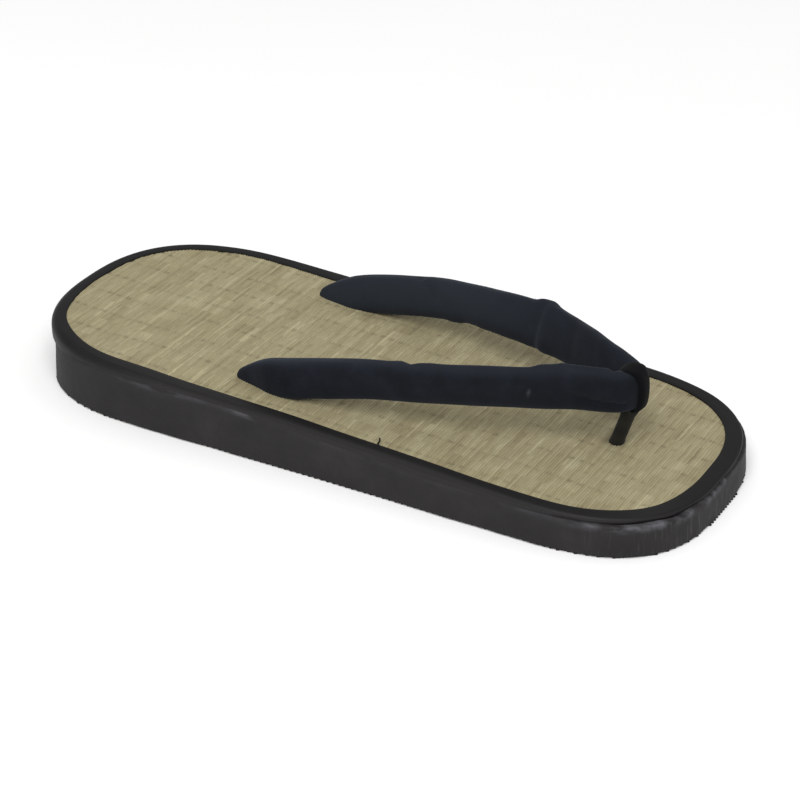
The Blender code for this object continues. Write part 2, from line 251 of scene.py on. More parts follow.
def glue_drop(x, y):
    """How far the glued line between binding and foam lies below the rim."""
    drops = np.array(GLUE_DROPS) * MM
    return np.interp(x, drops[:, 0], drops[:, 1]) + GLUE_WAVER * waves(x, y, 24 * MM, 22)


def even_ring(shape, count):
    """The closed outline as evenly spaced points, counter-clockwise from the toe's tip."""
    xs, ys = side_line(*shape)
    ring = np.stack([np.concatenate([xs, xs[-2:0:-1]]), np.concatenate([ys, -ys[-2:0:-1]])], 1)
    loop = np.vstack([ring, ring[:1]])
    gone = np.concatenate([[0], np.cumsum(np.hypot(*np.diff(loop, axis=0).T))])
    places = np.linspace(0, gone[-1], count, endpoint=False)
    return np.stack([np.interp(places, gone, loop[:, axis]) for axis in (0, 1)], 1)


def inward(ring):
    """Unit vectors that point into a closed counter-clockwise ring."""
    run = np.roll(ring, -1, 0) - np.roll(ring, 1, 0)
    run /= np.linalg.norm(run, axis=1)[:, None]
    return np.stack([-run[:, 1], run[:, 0]], 1)


outline = even_ring(FOOTBED, RING_POINTS)
print("Outline, mm:", np.round((outline.max(0) - outline.min(0)) / MM, 1))

# %% [markdown]
# Six more helpers build meshes from rows of points, measure distances, store numbers for the
# materials, and give the soft unevenness that nothing made of foam, grass or cloth is without.
# The unevenness is a sum of slow waves with seeded
# phases. Blender's own noise would do too, but waves are as smooth as the mesh is fine.

# %% Helpers for meshes
def grid_faces(rows, columns, close_rows=False, close_columns=False):
    """Quads over points that are stored row by row."""
    index = np.arange(rows * columns).reshape(rows, columns)
    if close_columns:
        index = np.hstack([index, index[:, :1]])
    if close_rows:
        index = np.vstack([index, index[:1]])
    quads = np.stack([index[:-1, :-1], index[:-1, 1:], index[1:, 1:], index[1:, :-1]], -1)
    return quads.reshape(-1, 4).tolist()


def build(name, points, faces, material, node, sharp=50):
    """One closed mesh with faces that point out, in the place of a CAD node."""
    mesh = bpy.data.meshes.new(name)
    mesh.from_pydata(np.asarray(points).tolist(), [], faces)
    work = bmesh.new()
    work.from_mesh(mesh)
    bmesh.ops.recalc_face_normals(work, faces=work.faces)
    work.to_mesh(mesh)
    work.free()
    mesh.shade_smooth()
    mesh.set_sharp_from_angle(angle=math.radians(sharp))
    mesh.materials.append(material)
    piece = bpy.data.objects.new(name, mesh)
    bpy.context.scene.collection.objects.link(piece)
    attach(piece, "root")
    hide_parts(node)
    corners = sum(len(face) - 2 for face in faces)
    print(f"{name}: {corners} triangles")
    return piece


def waves(x, y, size, seed, count=7):
    """Soft unevenness from about -1 to 1, in waves about that size long at mixed angles."""
    draw = np.random.default_rng(seed)
    total = np.zeros(np.broadcast(x, y).shape)
    for _ in range(count):
        angle = draw.uniform(0, math.pi)
        length = size * draw.uniform(0.6, 1.6)
        phase = draw.uniform(0, 2 * math.pi)
        across = x * math.cos(angle) + y * math.sin(angle)
        total += np.sin(2 * math.pi * across / length + phase)
    return total / count ** 0.5


def bell(distance, width):
    """1 at no distance, falling smoothly to 0 over about twice the width."""
    return np.exp(-(distance / width) ** 2)


def away_from(x, y, start, end):
    """Distance in plan from a straight line between two places."""
    run = np.subtract(end, start)
    share = ((x - start[0]) * run[0] + (y - start[1]) * run[1]) / (run @ run)
    share = np.clip(share, 0, 1)
    return np.hypot(x - start[0] - run[0] * share, y - start[1] - run[1] * share)


def paint(piece, name, values):
    """Store one number for each point of a mesh, for its material to read."""
    filled = np.zeros(len(piece.data.vertices), np.float32)
    filled[:values.size] = values.ravel()
    piece.data.attributes.new(name, "FLOAT", "POINT").data.foreach_set("value", filled)

# %% [markdown]
# The footbed's top is a rush mat, woven like a tatami face: stalks about a millimetre thick run
# across the foot, packed side by side over a few lengthwise cotton threads, and where a stalk is
# pulled down by a thread there is a small dip. A bump texture would look flat from low angles, so
# each stalk is real: three rows of points give it a rounded back and a valley beside it.

# %% Rush mat
MAT_RECESS = 0.5 * MM
MAT_TUCK = 3.4 * MM         # how far its border lies inside the outline, under the binding
STALK = 1.02 * MM           # usual width of a stalk
STALK_DEPTH = 0.22 * MM     # valley between two stalks
MAT_COLUMNS = 122
THREAD_PITCH = 13.2 * MM
THREAD_DIP = 0.34 * MM
THREAD_WIDTH = 0.80 * MM
BUNDLE = 5                  # stalks that share a shade between two threads
MAT_SINK = 0.7 * MM         # how far it is pressed down where a strap end goes in
BOARD_IN = 1.5 * MM         # its board's edge inside the outline, at the top
BOARD_STEP = 3.0 * MM       # and this much more below, where the side band is low
POST_X = FOOTBED_TOE - 43.0 * MM
SLOTS = [                   # where the strap's ends go in: tip x, y, then where it lifts off
    ((-46.9 * MM, 36.2 * MM), (-24.0 * MM, 37.7 * MM)),
    ((-40.3 * MM, -36.2 * MM), (-18.0 * MM, -37.7 * MM)),
]


def mat_height(x):
    """Height of the mat's surface above the floor."""
    return rim_height(x) - MAT_RECESS


draw = np.random.default_rng(11)
tucked = even_ring(FOOTBED, 2400)
tucked = tucked + inward(tucked) * MAT_TUCK
upper = tucked[:len(tucked) // 2 + 1]
mat_x0, mat_x1 = upper[:, 0].min(), upper[:, 0].max()
widths = []
while sum(widths) < mat_x1 - mat_x0:
    widths.append(STALK * draw.uniform(0.78, 1.24))
edges = mat_x0 + np.cumsum([0] + widths) * (mat_x1 - mat_x0) / sum(widths)
stalks = len(widths)
stalk_shade = draw.normal(0.5, 0.05, stalks)
stalk_lift = draw.uniform(-0.07, 0.07, stalks) * MM
rows_x, rows_drop, rows_stalk = [], [], []
for index in range(stalks):
    left, right = edges[index], edges[index + 1]
    width = right - left
    rows_x += [left, left + 0.30 * width, left + 0.70 * width]
    rows_drop += [STALK_DEPTH, 0.0, 0.0]
    rows_stalk += [index, index, index]
rows_x.append(edges[-1])
rows_drop.append(STALK_DEPTH)
rows_stalk.append(stalks - 1)
rows_x, rows_drop, rows_stalk = map(np.array, (rows_x, rows_drop, rows_stalk))
half_width = np.interp(rows_x, upper[::-1, 0], upper[::-1, 1])
half_width = np.maximum(half_width, 0.4 * MM)
v = np.sin(np.linspace(-1, 1, MAT_COLUMNS) * math.pi / 2 * 0.86)
v = v / v.max() * 0.35 + np.linspace(-1, 1, MAT_COLUMNS) * 0.65
gx = np.repeat(rows_x[:, None], MAT_COLUMNS, 1)
gy = half_width[:, None] * v[None, :]
gz = mat_height(gx) - rows_drop[:, None] + stalk_lift[rows_stalk][:, None]
thread = np.round(gy / THREAD_PITCH - 0.5)
thread_y = (thread + 0.5) * THREAD_PITCH + 0.7 * MM * waves(gx, thread * 0.05, 60 * MM, 5)
pulled = (rows_stalk[:, None] // 2 + thread) % 2
dip = bell(gy - thread_y, THREAD_WIDTH) * (0.25 + 0.75 * pulled)
patch = waves(gx, gy, 16 * MM, 6)
dashes = np.clip(0.55 + 0.7 * waves(gx, thread * 0.3, 5 * MM, 8), 0, 1)
bundle = (rows_stalk[:, None] + 2 * (thread.astype(int) % 2)) // BUNDLE
brick = draw.uniform(-1, 1, (bundle.max() + 1, 12))[bundle, thread.astype(int) + 6]
single = draw.normal(0, 1, (stalks, 12))[rows_stalk[:, None], thread.astype(int) + 6]
gz = gz - THREAD_DIP * dip + 0.10 * MM * patch + 0.05 * MM * brick
edge_gap = (1 - np.abs(v))[None, :] * half_width[:, None]
gz = gz - 0.5 * MM * bell(edge_gap, 1.6 * MM)
sunk = 0.4 * bell(np.hypot(gx - POST_X, gy), 3.7 * MM)
for tip, lift_off in SLOTS:
    sunk = sunk + 0.7 * bell(away_from(gx, gy, tip, lift_off), 4.0 * MM)
gz = gz - MAT_SINK * sunk
gx = gx + 0.22 * MM * waves(gx, gy, 45 * MM, 7) * (1 - np.abs(v))[None, :]

rows, columns = gx.shape
points = np.stack([gx, gy, gz], -1).reshape(-1, 3)
faces = grid_faces(rows, columns)
index = np.arange(rows * columns).reshape(rows, columns)
border = np.concatenate([index[0, :-1], index[:-1, -1], index[-1, :0:-1], index[:0:-1, 0]])
ring = points[border]
flat = ring[:, :2]
run = np.roll(flat, -1, 0) - np.roll(flat, 1, 0)
run /= np.maximum(np.linalg.norm(run, axis=1)[:, None], 1e-9)
outward = np.stack([run[:, 1], -run[:, 0]], 1)
if (outward * flat).sum() < 0:
    outward = -outward
reach = MAT_TUCK - BOARD_IN
step_in = BOARD_STEP * np.clip((5.8 * MM - glue_drop(flat[:, 0], flat[:, 1])) / (2.5 * MM), 0, 1)
low = np.column_stack([flat + outward * reach, rim_height(flat[:, 0]) - 1.1 * MM])
base = np.column_stack([flat + outward * (reach - step_in)[:, None],
                        rim_height(flat[:, 0]) - BINDING_DROP + 0.6 * MM])
count = len(border)
first = len(points)
points = np.vstack([points, low, base])
for step in range(count):
    after = (step + 1) % count
    faces.append([int(border[step]), int(border[after]), first + after, first + step])
    faces.append([first + step, first + after, first + count + after, first + count + step])
faces.append([first + count + step for step in range(count)])

# %% [markdown]
# Dried rush is a grass: matt, straw-coloured with a green-grey cast, and no two stalks are alike.
# Each stalk carries its own tone as a number on the mesh, so colour and relief agree, and noise
# drawn out along the stalks adds fibres. It is darker in dashes where the threads pull it down,
# and painted shade darkens the valleys between stalks, a thin line round its border under the
# binding's lip, and a ring round the post's hole. A dry stalk's skin has an index of 1.45 and is
# rough, 0.7, with only a weak shine.

# %% Dried rush
rush, rush_shader = new_material("dried_rush")
place = add(rush, "TexCoord", {}, {})
shade = add(rush, "Attribute", {"attribute_name": "stalk_shade"}, {})
dark = add(rush, "Attribute", {"attribute_name": "thread_dark"}, {})
along_stalk = add(rush, "Mapping", {}, {"Vector": place.outputs["Object"], "Scale": (1, 0.16, 1)})
streak = add(rush, "TexNoise", {}, {"Vector": along_stalk.outputs[0], "Scale": per_mm(0.7),
                                    "Detail": 3.0, "Roughness": 0.65})
blotch = add(rush, "TexNoise", {}, {"Vector": place.outputs["Object"], "Scale": per_mm(30),
                                    "Detail": 2.0})
mixed = add(rush, "Math", {"operation": "MULTIPLY_ADD"},
            {0: streak.outputs["Fac"], 1: 0.60, 2: shade.outputs["Fac"]})
levels = add(rush, "MapRange", {}, {"Value": mixed.outputs[0], "From Min": 0.30,
                                    "From Max": 1.30})
straw = add(rush, "ValToRGB", {"stops": [(0.0, linear("#7E745B")), (0.38, linear("#988D70")),
                                         (0.62, linear("#A3997C")), (1.0, linear("#BEB595"))]},
            {"Fac": levels.outputs[0]})
green = add(rush, "Mix", {"data_type": "RGBA", "blend_type": "MULTIPLY"},
            {"Factor": blotch.outputs["Fac"], MIX_A: straw.outputs[0], MIX_B: linear("#F0F3EA")})
# Painted shade: the straw colour is darkened in the thread dips, in the valleys, along the border
# and round the post's hole.
with_painted_shade = add(rush, "Mix", MIX, {"Factor": dark.outputs["Fac"], MIX_A: green.outputs[MIX_OUT],
                                  MIX_B: linear("#4A4232")})
fibre = add(rush, "TexNoise", {}, {"Vector": along_stalk.outputs[0], "Scale": per_mm(0.3),
                                   "Detail": 2.0})
relief = add(rush, "Bump", {}, {"Height": fibre.outputs["Fac"], "Strength": 0.25,
                                "Distance": 0.1 * MM})
feed(rush, rush_shader, {"Base Color": with_painted_shade.outputs[MIX_OUT], "Roughness": 0.72,
                         "IOR": 1.45, "Specular IOR Level": 0.35, "Normal": relief.outputs[0]})

mat = build("rush_mat", points, faces, rush, "insole", sharp=60)
shade_grid = stalk_shade[rows_stalk][:, None] + 0.08 * brick + 0.085 * single + 0.05 * patch
# Painted shadow: a ring round the post's hole and a line round the border under the lip, plus
# painted shade in the valleys between stalks.
post_hole_shadow = bell(np.hypot(gx - POST_X, gy), 3.9 * MM)
lip_edge_shadow = bell(edge_gap, 1.4 * MM)
valley = (rows_drop > 0)[:, None] * 0.12
dip_and_shade_grid = np.clip(0.36 * dip * dashes + 0.60 * post_hole_shadow + 0.25 * lip_edge_shadow + valley, 0, 0.85)
paint(mat, "stalk_shade", shade_grid)
paint(mat, "thread_dark", dip_and_shade_grid)
print("Stalks:", stalks)

# %% [markdown]
# The binding is a strip of black vinyl, glued round the footbed's side and folded over onto the
# mat. It is one closed strip swept round the outline: a side band, a round shoulder and a lip.
# A curve with a bevel could sweep it too, but here the lap's width changes on the way, and the
# glued lower edge follows the table of heights, unevenly, as hand work does.

# %% Edge binding
LAP_HEEL = 6.1 * MM
LAP_TOE = 6.6 * MM
VINYL = 0.8 * MM
SHOULDER_SHARE = 0.6        # share of the side band that is rounded over
SHOULDER_MOST = 3.0 * MM


def quarter(radius, steps):
    """(inset, fall) down a rounded edge, from its inner end to its outer end."""
    turn = np.linspace(0, math.pi / 2, steps)
    return list(zip(radius * (1 - np.sin(turn)), radius * (1 - np.cos(turn))))


inner = inward(outline)
count = len(outline)
drop_all = glue_drop(outline[:, 0], outline[:, 1])
shoulder = np.minimum(drop_all * SHOULDER_SHARE, SHOULDER_MOST)
lap = LAP_HEEL + (LAP_TOE - LAP_HEEL) * (0.5 + (outline[:, 0] - FOOTBED_X) / FOOTBED_LENGTH)
near_side = np.clip(-outline[:, 1] / (40 * MM), 0, 1)
lap = lap + near_side * MM * (-0.35 + 0.5 * bell(outline[:, 0] + 75 * MM, 45 * MM)
                              - 1.0 * bell(outline[:, 0] - 45 * MM, 75 * MM))
lap = lap + 0.18 * MM * waves(outline[:, 0], outline[:, 1], 40 * MM, 21)
bulge = 0.12 * MM * waves(outline[:, 0], outline[:, 1], 18 * MM, 23)

profile = []                # (inset, drop below the rim, share of the side band) round the strip
for share in np.linspace(0, 1, 5)[:-1]:
    profile.append((-bulge * math.sin(math.pi * share) + 0.12 * MM * (1 - share) ** 3,
                    drop_all + (shoulder - drop_all) * share, 1 - 0.4 * share))
for inset, fall in quarter(1.0, 8)[::-1]:
    profile.append((shoulder * inset, shoulder * fall, 0.6 * fall))
for share in (0.3, 0.6):
    profile.append((shoulder + (lap - VINYL - shoulder) * share, 0.0, 0.0))
for turn in np.linspace(0, math.pi, 8):
    profile.append((lap + VINYL / 2 * (math.sin(turn) - 1), VINYL / 2 * (1 - math.cos(turn)), 0.0))
profile.append((VINYL * 1.4, VINYL, 0.0))
profile.append((VINYL, VINYL * 1.4, 0.0))
profile.append((VINYL, drop_all, 0.0))
rings, band_reflection_share = [], []
for inset, drop, share in profile:
    flat = outline + inner * np.broadcast_to(inset, count)[:, None]
    rings.append(np.column_stack([flat, rim_height(flat[:, 0]) - drop]))
    # Painted reflection: how much of the lighter grey each side band row gets, faded towards the
    # heel and raised on the near side.
    forward = np.clip((outline[:, 0] + 118 * MM) / (55 * MM), 0.1, 1)
    band_reflection_share.append(forward * (share + 0.35 * near_side ** 3 * (share < 0.6)))
points = np.vstack(rings)
faces = grid_faces(len(profile), count, close_rows=True, close_columns=True)

# %% [markdown]
# One end of sewing thread sticks up from the lip on the near side. It is two millimetres of
# closed tube, part of the binding's own mesh.

# %% Stray thread
THREAD_FOOT = Vector((22.0, -50.0, 0.0)) * MM
THREAD_RADIUS = 0.34 * MM
THREAD_BENDS = [(0.0, 0.0, -0.6), (0.1, 0.2, 0.2), (0.5, 0.3, 0.7), (0.4, 0.6, 1.3), (0.3, 0.7, 1.8)]
start = len(points)
about = np.linspace(0, 2 * math.pi, 6, endpoint=False)
tube = []
for bend_x, bend_y, bend_z in THREAD_BENDS:
    middle = THREAD_FOOT + Vector((bend_x, bend_y, bend_z)) * MM
    tube.append(np.column_stack([middle.x + THREAD_RADIUS * np.cos(about),
                                 middle.y + THREAD_RADIUS * np.sin(about),
                                 np.full(6, middle.z + rim_height(middle.x))]))
points = np.vstack([points, *tube])
faces += (np.array(grid_faces(len(tube), 6, close_columns=True)) + start).tolist()
faces.append([start + step for step in range(6)])
faces.append([len(points) - 6 + step for step in range(6)])

# %% [markdown]
# The vinyl is soft PVC film, calendered smooth and pressed with a faint leather grain. It is
# black, and its index is 1.53, but wear has made it rough, 0.45 to 0.62, so its shoulder carries
# only a wide soft highlight. Its side band is painted a lighter grey, most on the near side and
# towards the toe: a painted reflection of the pale floor. The grain would be a quarter of
# a millimetre; it is drawn at half a millimetre so that it shows.

# %% PVC vinyl
vinyl, vinyl_shader = new_material("pvc_vinyl_film")
place = add(vinyl, "TexCoord", {}, {})
worn = add(vinyl, "TexNoise", {}, {"Vector": place.outputs["Object"], "Scale": per_mm(14),
                                   "Detail": 5.0, "Roughness": 0.65})
tint = add(vinyl, "ValToRGB", {"stops": [(0.35, linear("#0D0C0C")), (0.62, linear("#121111")),
                                         (0.78, linear("#1C1B1B"))]},
           {"Fac": worn.outputs["Fac"]})
# Painted reflection of the pale floor: the side band is mixed towards a lighter grey.
band = add(vinyl, "Attribute", {"attribute_name": "side_band"}, {})
band_with_reflection = add(vinyl, "Mix", MIX, {"Factor": band.outputs["Fac"], MIX_A: tint.outputs[0],
                                MIX_B: linear("#292728")})
gloss = add(vinyl, "MapRange", {}, {"Value": worn.outputs["Fac"], "From Min": 0.3,
                                    "From Max": 0.8, "To Min": 0.45, "To Max": 0.62})
grain = add(vinyl, "TexVoronoi", {"feature": "SMOOTH_F1"},
            {"Vector": place.outputs["Object"], "Scale": per_mm(0.55)})
relief = add(vinyl, "Bump", {}, {"Height": grain.outputs["Distance"], "Strength": 0.22,
                                 "Distance": 0.1 * MM})
feed(vinyl, vinyl_shader, {"Base Color": band_with_reflection.outputs[MIX_OUT], "Roughness": gloss.outputs[0],
                           "IOR": 1.53, "Specular IOR Level": 0.15, "Normal": relief.outputs[0]})
binding = build("edge_binding_vinyl", points, faces, vinyl, "edge_binding", sharp=60)
paint(binding, "side_band", np.clip(np.concatenate(band_reflection_share), 0, 1))

# %% [markdown]
# The sole is a wedge cut from a sheet of black EVA foam whose underside was moulded with a fine
# tread of small diamonds. The wedge is a stack of rings, with a cut edge that is never quite flat,
# that flares out towards the floor at the toe and follows the glue line at its top. The tread
# could be a displacement, but small separate diamonds keep their crisp edges and make the
# serrated line along the sole's lower edge.

# %% Foam sole
TREAD_DEEP = 0.60 * MM
TREAD_LONG = 2.5 * MM       # pitch of the diamonds along the sandal
TREAD_WIDE = 2.0 * MM       # pitch across it
PAD_FLOOR = 0.74            # a diamond's size on the floor and at its root, of the pitch
PAD_ROOT = 0.92
FOAM_EDGE = 0.4 * MM        # radius of the lower and of the upper edge
FOAM_TOP_EDGE = 0.55 * MM
FOAM_TUCK = 0.2 * MM        # its top edge tucks in behind the binding's lower edge
FOAM_TO_NEAR = 0.3 * MM     # the foam was glued on this much to the near side,
TOE_TO_NEAR = 1.3 * MM      # and this much more at the toe
TOE_FLARE = 0.9 * MM
HEEL_FLARE = 0.4 * MM
ENDS_FROM = 92 * MM         # the ends of the sole begin this far from its middle
ENDS_LONG = 38 * MM
foam_outline = even_ring(FOAM, RING_POINTS)
foam_inner = inward(foam_outline)
toward = FOAM_TO_NEAR + TOE_TO_NEAR * np.clip((foam_outline[:, 0] - ENDS_FROM) / ENDS_LONG, 0, 1)
foam_outline = foam_outline - np.column_stack([0 * toward, toward])
top = (rim_height(foam_outline[:, 0]) + FOAM_TUCK
       - glue_drop(foam_outline[:, 0], foam_outline[:, 1]))
foam_rows = []              # inset, share of the height, millimetres above that
for inset, rise in quarter(FOAM_EDGE, 5):
    foam_rows.append((inset, 0.0, TREAD_DEEP + rise))
for share in np.linspace(0, 1, 9)[1:-1]:
    foam_rows.append((0.0, share, 0.0))
for inset, fall in quarter(FOAM_TOP_EDGE, 5)[::-1]:
    foam_rows.append((inset, 1.0, -fall))
foam_rows.append((2.0 * MM, 1.0, 0.0))
flare = (TOE_FLARE * np.clip((foam_outline[:, 0] - ENDS_FROM) / ENDS_LONG, 0, 1)
         + HEEL_FLARE * np.clip((-foam_outline[:, 0] - ENDS_FROM) / ENDS_LONG, 0, 1))
rings, below_top = [], []
for inset, share, offset in foam_rows:
    height = top * share + offset
    uneven = waves(foam_outline.sum(1), height * 2.5, 26 * MM, 31)
    fine = waves(foam_outline[:, 0] - foam_outline[:, 1], height, 5 * MM, 32)
    depth = inset + 0.10 * MM * uneven + 0.05 * MM * fine - flare * (1 - height / top)
    flat = foam_outline + foam_inner * depth[:, None]
    rings.append(np.column_stack([flat, height]))
    below_top.append(top - height)
flat = foam_outline + foam_inner * 4.5 * MM
rings.append(np.column_stack([flat, rim_height(flat[:, 0]) - BINDING_DROP - 0.3 * MM]))
below_top.append(np.full(len(flat), 9 * MM))
points = np.vstack(rings)
count = len(foam_outline)
faces = grid_faces(len(rings), count, close_columns=True)
faces.append(list(range(count)))
faces.append(list(range(len(points) - count, len(points))))

pads = []
bottom = foam_outline + foam_inner * (0.6 * MM - flare)[:, None]
low_x, low_y = bottom.min(0)
high_x, high_y = bottom.max(0)
sides = [half[np.argsort(half[:, 0])] for half in (bottom[:count // 2 + 1], bottom[count // 2:])]
for line in range(int((high_y - low_y) / (TREAD_WIDE / 2)) + 2):
    y = low_y + line * TREAD_WIDE / 2
    xs = np.arange(low_x + (line % 2) * TREAD_LONG / 2, high_x, TREAD_LONG)
    far, near = (np.interp(xs, side[:, 0], side[:, 1]) for side in sides)
    pads += [(x, y) for x, a, b in zip(xs, near, far) if a < y < b]
pads = np.array(pads)
corner = np.array([(1, 0), (0, 1), (-1, 0), (0, -1)], float)
size = np.array([TREAD_LONG, TREAD_WIDE]) / 2
pad_low = np.dstack([pads[:, None, :] + corner * size * PAD_FLOOR, np.zeros((len(pads), 4, 1))])
pad_high = np.dstack([pads[:, None, :] + corner * size * PAD_ROOT,
                      np.full((len(pads), 4, 1), TREAD_DEEP + 0.05 * MM)])
pad_points = np.concatenate([pad_low, pad_high], 1).reshape(-1, 3)
start = len(points)
points = np.vstack([points, pad_points])
BOX = [(3, 2, 1, 0), (4, 5, 6, 7), (0, 1, 5, 4), (1, 2, 6, 5), (2, 3, 7, 6), (3, 0, 4, 7)]
for pad in range(len(pads)):
    at = start + pad * 8
    faces += [[at + corner_number for corner_number in side] for side in BOX]
print("Tread diamonds:", len(pads))

# %% [markdown]
# EVA is a closed-cell foam, index 1.49. Its cut edge is open cells, so it is matt charcoal,
# roughness near 0.7, with a bloom of dust, a faint grain of cells, and near the toe fine upright
# scratches from walking. Lighter flecks lie along its top edge on the near side: smears of glue
# and scuffs, and a painted highlight where the binding's lifted lower edge catches the light.
# Cells are a fifth of a millimetre and are drawn at half a millimetre.

# %% EVA foam
foam, foam_shader = new_material("eva_foam")
place = add(foam, "TexCoord", {}, {})
cells = add(foam, "TexNoise", {}, {"Vector": place.outputs["Object"], "Scale": per_mm(0.5),
                                   "Detail": 2.0})
dust = add(foam, "TexNoise", {}, {"Vector": place.outputs["Object"], "Scale": per_mm(19),
                                  "Detail": 5.0, "Roughness": 0.62})
upright = add(foam, "Mapping", {}, {"Vector": place.outputs["Object"], "Scale": (1, 1, 0.08)})
scratch = add(foam, "TexNoise", {}, {"Vector": upright.outputs[0], "Scale": per_mm(0.8),
                                     "Detail": 3.0})
parts = add(foam, "SeparateXYZ", {}, {0: place.outputs["Object"]})
toe_share = add(foam, "MapRange", {}, {"Value": parts.outputs["X"], "From Min": 95 * MM,
                                       "From Max": 135 * MM})
base_tint = add(foam, "ValToRGB", {"stops": [(0.3, linear("#1B191A")), (0.55, linear("#211F20")),
                                             (0.8, linear("#2A2728"))]},
                {"Fac": dust.outputs["Fac"]})
scratch_share = add(foam, "MapRange", {}, {"Value": scratch.outputs["Fac"], "From Min": 0.55,
                                           "From Max": 0.75})
scuffed = add(foam, "Math", {"operation": "MULTIPLY"}, {0: scratch_share.outputs[0],
                                                        1: toe_share.outputs[0]})
tinted = add(foam, "Mix", MIX, {"Factor": scuffed.outputs[0], MIX_A: base_tint.outputs[0],
                                MIX_B: linear("#3D3B39")})
# Glue smears and a painted highlight: lighter flecks along the top edge on the near side.
glue = add(foam, "Attribute", {"attribute_name": "glue"}, {})
drawn_out = add(foam, "Mapping", {}, {"Vector": place.outputs["Object"], "Scale": (0.3, 1, 1)})
flecks = add(foam, "TexNoise", {}, {"Vector": drawn_out.outputs[0], "Scale": per_mm(4.5),
                                    "Detail": 2.0, "Roughness": 0.6})
fleck_share = add(foam, "MapRange", {}, {"Value": flecks.outputs["Fac"], "From Min": 0.40,
                                         "From Max": 0.68})
glue_and_highlight_flecks = add(foam, "Math", {"operation": "MULTIPLY"}, {0: fleck_share.outputs[0],
                                                      1: glue.outputs["Fac"]})
smeared_and_lit = add(foam, "Mix", MIX, {"Factor": glue_and_highlight_flecks.outputs[0], MIX_A: tinted.outputs[MIX_OUT],
                                 MIX_B: linear("#55555A")})
relief = add(foam, "Bump", {}, {"Height": cells.outputs["Fac"], "Strength": 0.35,
                                "Distance": 0.15 * MM})
feed(foam, foam_shader, {"Base Color": smeared_and_lit.outputs[MIX_OUT], "Roughness": 0.68,
                         "IOR": 1.49, "Specular IOR Level": 0.28, "Normal": relief.outputs[0]})
sole = build("foam_sole", points, faces, foam, "outsole", sharp=40)
around_x, around_y = foam_outline[:, 0], foam_outline[:, 1]
# Where the glue smears and the painted highlight lie along the near side's top edge.
glue_and_highlight_places = (around_y < 0) * (0.9 * bell(around_x + 66 * MM, 14 * MM)
                           + 0.7 * bell(around_x + 30 * MM, 6 * MM)
                           + 1.0 * bell(around_x - 122 * MM, 24 * MM) + 0.10)
paint(sole, "glue", np.concatenate([bell(gap - 0.5 * MM, 1.2 * MM) * glue_and_highlight_places
                                    for gap in below_top]))

# %% [markdown]
# The strap is one tube of dark velvet, stuffed and sewn flat, that rises from both sides of the
# footbed and turns round at the nose, where a loop holds it. Cloth simulation would puff it up
# evenly, but the folds here were pressed in by wear at certain places, so the tube is lofted
# through the same sections as the solid, many more of them, and the folds are laid on one by one.
# Only the ends, where the strap comes out of the mat, run on a little further.

# %% Strap sections
NOSE_X = FOOTBED_TOE - 37.9 * MM
TIP_X = {"left": FOOTBED_HEEL + 88.2 * MM, "right": FOOTBED_HEEL + 94.8 * MM}
SPREAD = 37.8 * MM
RISE = 22.9 * MM
TALL = 18.0 * MM
THICK = 8.2 * MM
SECTION_POWER = 2.8
ARM_STEPS = 16
SECTION_POINTS = 72
ARM_ROWS = [
    # along, spread, rise, tall, thick: shares; lean outwards: degrees
    (-0.018, 0.956, -0.060, 0.200, 0.10, 0),
    (-0.009, 0.957, -0.016, 0.360, 0.20, 0),
    (0.006, 0.958, 0.036, 0.480, 0.32, 1),
    (0.034, 0.961, 0.096, 0.625, 0.54, 2),
    (0.062, 0.970, 0.152, 0.735, 0.78, 2),
    (0.095, 0.984, 0.212, 0.815, 0.94, 2),
    (0.151, 0.997, 0.314, 0.845, 1.00, 1),
    (0.238, 0.972, 0.460, 0.850, 1.00, 3),
    (0.370, 0.930, 0.664, 0.850, 1.00, 7),
    (0.516, 0.831, 0.800, 0.880, 1.00, 14),
    (0.663, 0.689, 0.921, 0.975, 1.00, 21),
    (0.765, 0.535, 0.976, 0.955, 1.00, 16),
    (0.860, 0.335, 0.996, 0.950, 0.98, 11),
    (0.932, 0.219, 1.000, 0.915, 0.94, 8),
    (0.977, 0.133, 1.000, 0.866, 0.91, 5),
    (0.994, 0.071, 1.000, 0.829, 0.90, 2),
    (1.000, 0.000, 1.000, 0.820, 0.90, 0),
]


def arm_samples(tip_x):
    """x, y, z, tall, thick, lean and share along an arm, from its tip in the mat to the nose."""
    rows = []
    for along, spread, rise, tall, thick, lean in ARM_ROWS:
        x = tip_x + (NOSE_X - tip_x) * along
        rows.append((x, SPREAD * spread, mat_height(x) + RISE * rise, TALL * tall,
                     THICK * thick, lean, along))
    past = (rows[-2][0], -rows[-2][1], *rows[-2][2:])
    knots = np.array([rows[0], *rows, past])
    made = []
    for a, b, c, d in zip(knots, knots[1:], knots[2:], knots[3:]):
        for share in np.arange(ARM_STEPS) / ARM_STEPS:
            made.append(b + 0.5 * ((c - a) * share + (2 * a - 5 * b + 4 * c - d) * share ** 2
                                   + (3 * b - a - 3 * c + d) * share ** 3))
    made.append(knots[-2])
    return np.array(made)


def arm_frames(samples):
    """Centre, upper and outer directions of each section along an arm."""
    centre = samples[:, :3]
    run = np.gradient(centre, axis=0)
    run[-1] = (0, -1, 0)
    run /= np.linalg.norm(run, axis=1)[:, None]
    upward = np.array([0, 0, 1]) - run * run[:, 2:]
    upward /= np.linalg.norm(upward, axis=1)[:, None]
    outer = np.cross(upward, run)
    outer *= np.where(outer[:, 1:2] < -1e-9, -1, 1)
    outer[-1] = (1, 0, 0)
    lean = np.radians(samples[:, 5:6])
    upper = upward * np.cos(lean) + outer * np.sin(lean)
    side = outer * np.cos(lean) - upward * np.sin(lean)
    return centre, upper, side


